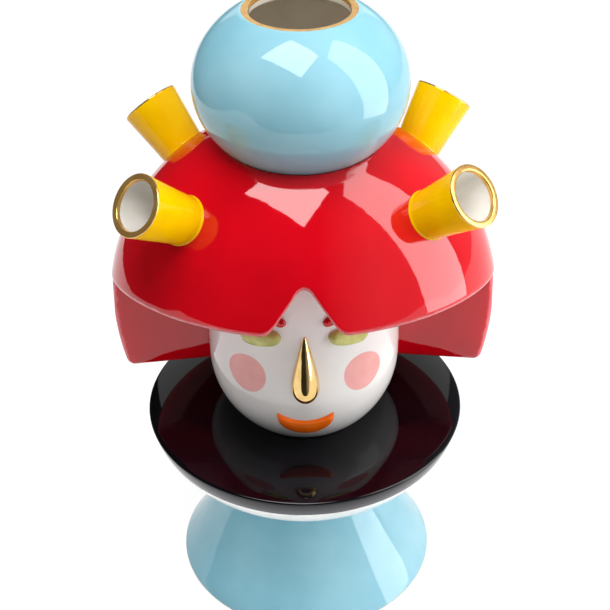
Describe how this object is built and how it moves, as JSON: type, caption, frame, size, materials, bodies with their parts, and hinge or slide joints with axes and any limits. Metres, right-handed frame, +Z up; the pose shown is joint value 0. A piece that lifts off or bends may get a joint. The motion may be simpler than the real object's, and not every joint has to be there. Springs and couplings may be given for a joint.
{
  "type": "face vase",
  "caption": "Glazed earthenware vase shaped as a doll's head with a dome of hair, on a dish and a flared foot, with an open bun on top and flower tubes round the crown.",
  "frame": {"origin": "on the floor, at the vase's upright axis, in the middle of the foot ring", "axes": "+Z up along the vase's axis, -Y the way the face looks, +X to the viewer's right"},
  "size_m": [0.302, 0.2586, 0.5],
  "materials": {
    "blue_glaze": "gloss",
    "black_glaze": "gloss",
    "white_glaze": "gloss",
    "red_glaze": "gloss",
    "yellow_glaze": "gloss",
    "gold_lustre": "gloss",
    "orange_glaze": "gloss",
    "green_glaze": "gloss"
  },
  "bodies": {
    "root": {"foot": "blue_glaze", "bun": "blue_glaze", "dish": "black_glaze", "head": "white_glaze", "hair": "red_glaze", "brow_right": "red_glaze", "brow_left": "red_glaze", "nose": "gold_lustre", "lips": "orange_glaze", "eyelid_right": "green_glaze", "eyelid_left": "green_glaze", "flower_tube_front_left": "yellow_glaze", "flower_tube_front_right": "yellow_glaze", "flower_tube_back_left": "yellow_glaze", "flower_tube_back_right": "yellow_glaze"}
  },
  "joints": []
}
